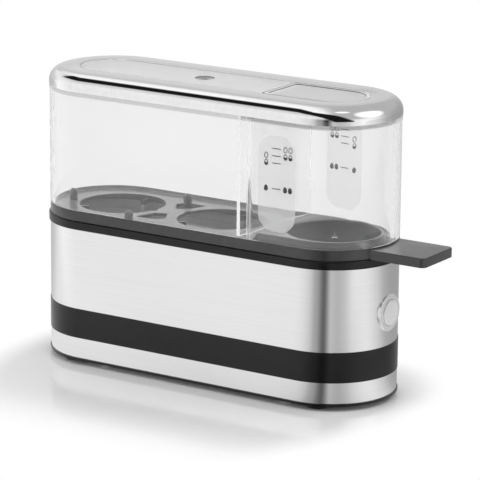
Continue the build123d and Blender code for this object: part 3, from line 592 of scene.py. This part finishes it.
def egg_mark(mesh, x, z, filled):
    """Outline of an egg at this place, of which this share from the bottom is filled."""
    shape = upright(x, z) @ Matrix.Diagonal((egg_width / 2, egg_height / 2, 1, 1))
    ring = bmesh.ops.create_circle(mesh, segments=egg_segments, radius=1, cap_ends=True, matrix=shape)
    face = ring["verts"][0].link_faces[0]
    for vert in ring["verts"]:
        vert.co.x -= (vert.co.x - x) * egg_taper * (vert.co.z - z) / (egg_height / 2)
    if filled == 1:
        return
    bmesh.ops.inset_region(
        mesh, faces=[face], thickness=egg_line, use_boundary=True, use_even_offset=True
    )
    empty = [face]
    if filled > 0:
        inner = [face, *face.edges, *face.verts]
        cut = bmesh.ops.bisect_plane(mesh, geom=inner, plane_co=(x, 0, z), plane_no=(0, 0, 1))
        edges = [part for part in cut["geom_cut"] if isinstance(part, bmesh.types.BMEdge)]
        halves = {half for edge in edges for half in edge.link_faces}
        empty = [half for half in halves if half.calc_center_median().z > z]
    bmesh.ops.delete(mesh, geom=empty, context="FACES")


def line_mark(mesh, x, z):
    """Level line with its middle at this place."""
    shape = upright(x, z) @ Matrix.Diagonal((mark_length, mark_thickness, 1, 1))
    bmesh.ops.create_grid(mesh, x_segments=1, y_segments=1, size=0.5, matrix=shape)


frosted, tree, shader = new_finish("frosted_print", Roughness=0.6)
speckle = grain_of(tree, print_grains, detail=3.0)
vary(tree, shader, speckle, "Base Color", 0.90, 0.96)
depth = along(tree, put(tree, "ShaderNodeTexCoord").outputs["Object"], (0, 1, 0))
density = ramp(tree, depth, -print_reach, print_reach, *print_density)
tree.links.new(density, shader.inputs["Alpha"])
ink, tree, shader = new_finish("black_ink", Roughness=0.5, Specular_IOR_Level=0.1)
speckle = grain_of(tree, ink_grains, detail=3.0)
vary(tree, shader, speckle, "Base Color", 0.004, 0.01)
for side_name, (patch_place, turn) in patch_places.items():
    on_cup = Matrix.Translation((body_middle + patch_place, cup_middle, 0))
    on_cup = on_cup @ Matrix.Rotation(turn, 4, "Z")
    patch = bmesh.new()
    shape = upright(0, (patch_low + patch_high) / 2)
    shape = shape @ Matrix.Diagonal((patch_width, patch_high - patch_low, 1, 1))
    bmesh.ops.create_grid(patch, x_segments=1, y_segments=1, size=0.5, matrix=shape)
    bmesh.ops.bevel(
        patch,
        geom=patch.verts[:],
        offset=patch_corner,
        segments=12,
        profile=0.5,
        affect="VERTICES",
        material=-1,
    )
    thicken(patch, patch.faces[:], patch_thickness)
    outside = Matrix.Translation((0, -cup_face - ink_gap, 0))
    bmesh.ops.transform(patch, matrix=on_cup @ outside, verts=patch.verts)
    flat_piece(f"cup_scale_{side_name}", patch, frosted)
    marks = bmesh.new()
    for level in (soft_level, medium_level, medium_single_level, hard_level):
        line_mark(marks, mark_shift, level)
    for pair_shift in pair_shifts:
        egg_mark(marks, pair_shift, soft_level, 0.0)
        egg_mark(marks, pair_shift, medium_level, 0.5)
        egg_mark(marks, pair_shift, hard_level, 1.0)
    egg_mark(marks, single_shift, medium_level, 0.0)
    egg_mark(marks, single_shift, medium_single_level, 0.5)
    egg_mark(marks, single_shift, hard_level, 1.0)
    thicken(marks, marks.faces[:], ink_thickness)
    outside = Matrix.Translation((0, -cup_face - 2 * ink_gap - patch_thickness, 0))
    bmesh.ops.transform(marks, matrix=on_cup @ outside, verts=marks.verts)
    flat_piece(f"cup_marks_{side_name}", marks, ink)

# Chrome ring: a hollow rounded frame of plated plastic, polished. It stands on the collar of the
# hood and laps over its roof.
chrome = even_finish("chrome", 260.0, greys=(0.86, 0.90), roughness=(0.03, 0.06), Metallic=1.0)
finish_node("chrome_ring", chrome)

# Bezel of the button: a ring of plated metal with finely scratched faces. Its flange lies on the
# round end of the upper sleeve, and its tube goes inside.
plating_grains = (260.0, 260.0, 260.0)
scratch_grains = (900.0, 900.0, 900.0)
plated, tree, shader = new_finish("bezel_chrome", Metallic=0.55)
vary(tree, shader, grain_of(tree, plating_grains), "Base Color", 0.90, 0.94)
vary(tree, shader, grain_of(tree, scratch_grains), "Roughness", 0.08, 0.14)
finish_node("switch_bezel", plated)

# Start button: a round cap of turned metal with a satin face, kept in by a collar behind the
# bezel's tube.
turned_cap = even_finish(
    "button_metal", 1200.0, greys=(0.90, 0.95), roughness=(0.28, 0.36), Metallic=0.25
)
finish_node("start_button", turned_cap)

# Feet and cord gland: black rubber, matt from its mould. The feet are pressed into the tray, and
# the gland snaps into the back of the housing.
rubber_grains = 900.0
rubber_depth = 0.05 * MM
rubber = even_finish("rubber", rubber_grains, greys=(0.015, 0.03), roughness=(0.6, 0.8))
tree = rubber.node_tree
dust = grain_of(tree, (rubber_grains, rubber_grains, rubber_grains))
bumps(tree, tree.nodes["Principled BSDF"], dust, rubber_depth, strength=0.4)
for soft in ("rubber_feet", "cord_gland"):
    finish_node(soft, rubber)

# Seal: a moulded ring of pale silicone. It lies in the groove of the rim's ledge, and the
# flange of the pan rests on it.
silicone = even_finish("silicone", 700.0, greys=(0.45, 0.52), roughness=(0.45, 0.6))
finish_node("pan_seal", silicone)

# Water pan: drawn stainless steel with rounded bottom edges and a flange that hangs it in the
# rim. It is satin inside, and dulled by boiled water.
pan_steel = even_finish(
    "pan_steel", 300.0, greys=(0.40, 0.46), roughness=(0.45, 0.55), Metallic=1.0
)
finish_node("water_pan", pan_steel)

# Heater: a cast aluminium spreader under the pan, and in its groove a steel tube with two blade
# ends, dark with the oxide of its heat.
cast = even_finish("aluminium", 800.0, greys=(0.60, 0.72), roughness=(0.35, 0.5), Metallic=1.0)
finish_node("heat_spreader", cast)
heater = even_finish(
    "heater_steel", 180.0, greys=(0.20, 0.34), roughness=(0.4, 0.55), Metallic=1.0
)
for hot in ("heating_element", "element_terminals"):
    finish_node(hot, heater)

# Sheet metal and screws: the heat shield, the straps and the bracket are pressed from
# zinc-plated steel, and show the spangle of the plating.
zinc = even_finish("sheet_steel", 500.0, greys=(0.52, 0.66), roughness=(0.3, 0.42), Metallic=1.0)
for zinced in (
    "heat_shield",
    "thermostat_bracket",
    "fuse_clip",
    "switch_bracket",
    "tray_screws",
    "shield_screws",
    "bracket_screws",
    "strap_screws",
):
    finish_node(zinced, zinc)

# Electrical pieces: the terminal block, the sleeve of the fuse and the plunger of the switch are
# white nylon, and the bodies of the switch and the thermostat are black phenolic.
nylon = even_finish("white_plastic", 300.0, greys=(0.68, 0.76), roughness=(0.4, 0.5))
for pale in ("terminal_block", "thermal_fuse", "switch_plunger"):
    finish_node(pale, nylon)
phenolic = even_finish("phenolic", 500.0, greys=(0.02, 0.035), roughness=(0.35, 0.5))
for dark in ("switch_body", "thermostat"):
    finish_node(dark, phenolic)

# Needle: a turned steel spike that pricks the eggs. It is pressed upright into the middle of
# the dish.
turning_grains = (900.0, 900.0, 3000.0)
needle_steel, tree, shader = new_finish("needle_steel", Metallic=1.0)
turned = grain_of(tree, turning_grains)
vary(tree, shader, turned, "Base Color", 0.6, 0.7)
vary(tree, shader, turned, "Roughness", 0.15, 0.25)
finish_node("pricker_needle", needle_steel)
